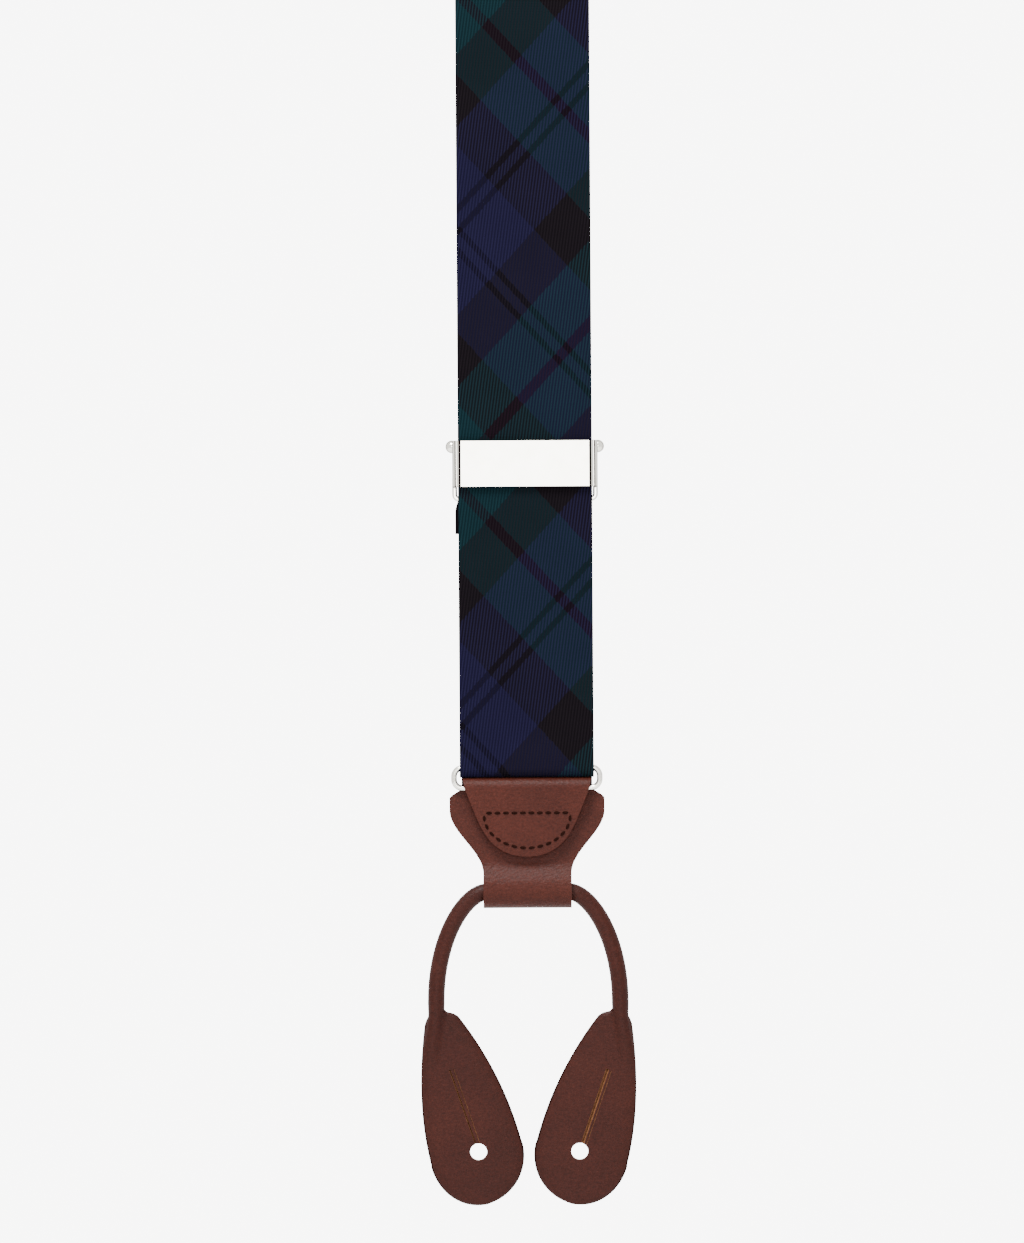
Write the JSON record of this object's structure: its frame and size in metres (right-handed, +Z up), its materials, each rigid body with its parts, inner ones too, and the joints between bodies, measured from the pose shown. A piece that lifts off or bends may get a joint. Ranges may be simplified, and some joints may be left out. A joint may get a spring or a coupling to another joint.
{
  "type": "suspenders",
  "caption": "Y-back dress suspenders with tartan ribbon straps, polished slides and rings, and leather ends with buttonhole tabs.",
  "frame": {"origin": "midway between the undersides of the two shoulder crossings, where the pair is held up", "axes": "+X to the wearer's left, seen on the right from the front; +Y towards the wearer's back; +Z up"},
  "size_m": [0.4268, 0.057, 0.6465],
  "materials": {
    "silver": "polished",
    "ribbon": "woven silk, dark tartan",
    "elastic": "ribbed elastic",
    "leather": "smooth brown",
    "lining": "suede lining"
  },
  "bodies": {
    "shoulders": {"left_ribbon": "ribbon", "right_ribbon": "ribbon", "shield_outer": "leather", "shield_lining": "lining"},
    "left_strap_end": {"left_ribbon_run": "ribbon", "left_ribbon_return": "ribbon"},
    "left_slide": {"left_slide_plate": "silver", "left_slide_pin": "silver", "left_slide_bail": "silver"},
    "left_lever": {"left_slide_lever": "silver"},
    "left_ring": {"left_ring": "silver"},
    "left_hanger": {"left_hanger": "leather"},
    "left_runner": {"left_runner_roll": "leather"},
    "left_tab_left": {"left_tab_left": "leather"},
    "left_tab_right": {"left_tab_right": "leather"},
    "right_strap_end": {"right_ribbon_run": "ribbon", "right_ribbon_return": "ribbon"},
    "right_slide": {"right_slide_plate": "silver", "right_slide_pin": "silver", "right_slide_bail": "silver"},
    "right_lever": {"right_slide_lever": "silver"},
    "right_ring": {"right_ring": "silver"},
    "right_hanger": {"right_hanger": "leather"},
    "right_runner": {"right_runner_roll": "leather"},
    "right_tab_left": {"right_tab_left": "leather"},
    "right_tab_right": {"right_tab_right": "leather"},
    "back_strap_end": {"elastic_leg": "elastic"},
    "back_ring": {"back_ring": "silver"},
    "back_hanger": {"back_hanger": "leather"},
    "back_runner": {"back_runner_roll": "leather"},
    "back_tab_left": {"back_tab_left": "leather"},
    "back_tab_right": {"back_tab_right": "leather"}
  },
  "joints": [
    {"name": "left_strap_length", "type": "slide", "parent": "shoulders", "child": "left_strap_end", "axis": [0, 0, 1], "range_m": [-0.05, 0.1], "deforming": ["left_ribbon_run", "left_ribbon_return"]},
    {"name": "left_slide_travel", "type": "slide", "parent": "left_strap_end", "child": "left_slide", "axis": [0, 0, 1], "range_m": [-0.05, 0.1]},
    {"name": "left_lever_hinge", "type": "hinge", "parent": "left_slide", "child": "left_lever", "pos_m": [0.183, -0.0234, -0.42405], "axis": [1, 0, 0], "range_deg": [0, 100]},
    {"name": "left_ring_hinge", "type": "hinge", "parent": "left_strap_end", "child": "left_ring", "pos_m": [0.183, -0.0242, -0.5151], "axis": [1, 0, 0], "range_deg": [-25, 25]},
    {"name": "left_hanger_hinge", "type": "hinge", "parent": "left_ring", "child": "left_hanger", "pos_m": [0.183, -0.0242, -0.5209], "axis": [1, 0, 0], "range_deg": [-40, 40]},
    {"name": "left_runner_hinge", "type": "hinge", "parent": "left_hanger", "child": "left_runner", "pos_m": [0.183, -0.0234, -0.5504], "axis": [1, 0, 0], "range_deg": [-30, 30]},
    {"name": "left_tab_left_flex", "type": "hinge", "parent": "left_runner", "child": "left_tab_left", "pos_m": [0.1569, -0.0234, -0.5842], "axis": [0.9681, 0, 0.2504], "range_deg": [-15, 15]},
    {"name": "left_tab_right_flex", "type": "hinge", "parent": "left_runner", "child": "left_tab_right", "pos_m": [0.2091, -0.0234, -0.5842], "axis": [0.9681, 0, -0.2504], "range_deg": [-15, 15]},
    {"name": "right_strap_length", "type": "slide", "parent": "shoulders", "child": "right_strap_end", "axis": [0, 0, 1], "range_m": [-0.05, 0.1], "deforming": ["right_ribbon_run", "right_ribbon_return"]},
    {"name": "right_slide_travel", "type": "slide", "parent": "right_strap_end", "child": "right_slide", "axis": [0, 0, 1], "range_m": [-0.05, 0.1]},
    {"name": "right_lever_hinge", "type": "hinge", "parent": "right_slide", "child": "right_lever", "pos_m": [-0.183, -0.0234, -0.42405], "axis": [1, 0, 0], "range_deg": [0, 100]},
    {"name": "right_ring_hinge", "type": "hinge", "parent": "right_strap_end", "child": "right_ring", "pos_m": [-0.183, -0.0242, -0.5151], "axis": [1, 0, 0], "range_deg": [-25, 25]},
    {"name": "right_hanger_hinge", "type": "hinge", "parent": "right_ring", "child": "right_hanger", "pos_m": [-0.183, -0.0242, -0.5209], "axis": [1, 0, 0], "range_deg": [-40, 40]},
    {"name": "right_runner_hinge", "type": "hinge", "parent": "right_hanger", "child": "right_runner", "pos_m": [-0.183, -0.0234, -0.5504], "axis": [1, 0, 0], "range_deg": [-30, 30]},
    {"name": "right_tab_left_flex", "type": "hinge", "parent": "right_runner", "child": "right_tab_left", "pos_m": [-0.2091, -0.0234, -0.5842], "axis": [0.9681, 0, 0.2504], "range_deg": [-15, 15]},
    {"name": "right_tab_right_flex", "type": "hinge", "parent": "right_runner", "child": "right_tab_right", "pos_m": [-0.1569, -0.0234, -0.5842], "axis": [0.9681, 0, -0.2504], "range_deg": [-15, 15]},
    {"name": "back_elastic_stretch", "type": "slide", "parent": "shoulders", "child": "back_strap_end", "axis": [0, 0, -1], "range_m": [0, 0.04], "stiffness_N_per_m": 375, "deforming": ["elastic_leg"]},
    {"name": "back_ring_hinge", "type": "hinge", "parent": "back_strap_end", "child": "back_ring", "pos_m": [0, 0.0242, -0.38067], "axis": [-1, 0, 0], "range_deg": [-25, 25]},
    {"name": "back_hanger_hinge", "type": "hinge", "parent": "back_ring", "child": "back_hanger", "pos_m": [0, 0.0242, -0.38647], "axis": [-1, 0, 0], "range_deg": [-40, 40]},
    {"name": "back_runner_hinge", "type": "hinge", "parent": "back_hanger", "child": "back_runner", "pos_m": [0, 0.0234, -0.41597], "axis": [-1, 0, 0], "range_deg": [-30, 30]},
    {"name": "back_tab_left_flex", "type": "hinge", "parent": "back_runner", "child": "back_tab_left", "pos_m": [0.0261, 0.0234, -0.44977], "axis": [-0.9681, 0, 0.2504], "range_deg": [-15, 15]},
    {"name": "back_tab_right_flex", "type": "hinge", "parent": "back_runner", "child": "back_tab_right", "pos_m": [-0.0261, 0.0234, -0.44977], "axis": [-0.9681, 0, -0.2504], "range_deg": [-15, 15]}
  ],
  "couplings": [
    {"joint": "left_slide_travel", "follows": "left_strap_length", "ratio": 1},
    {"joint": "right_slide_travel", "follows": "right_strap_length", "ratio": 1}
  ]
}
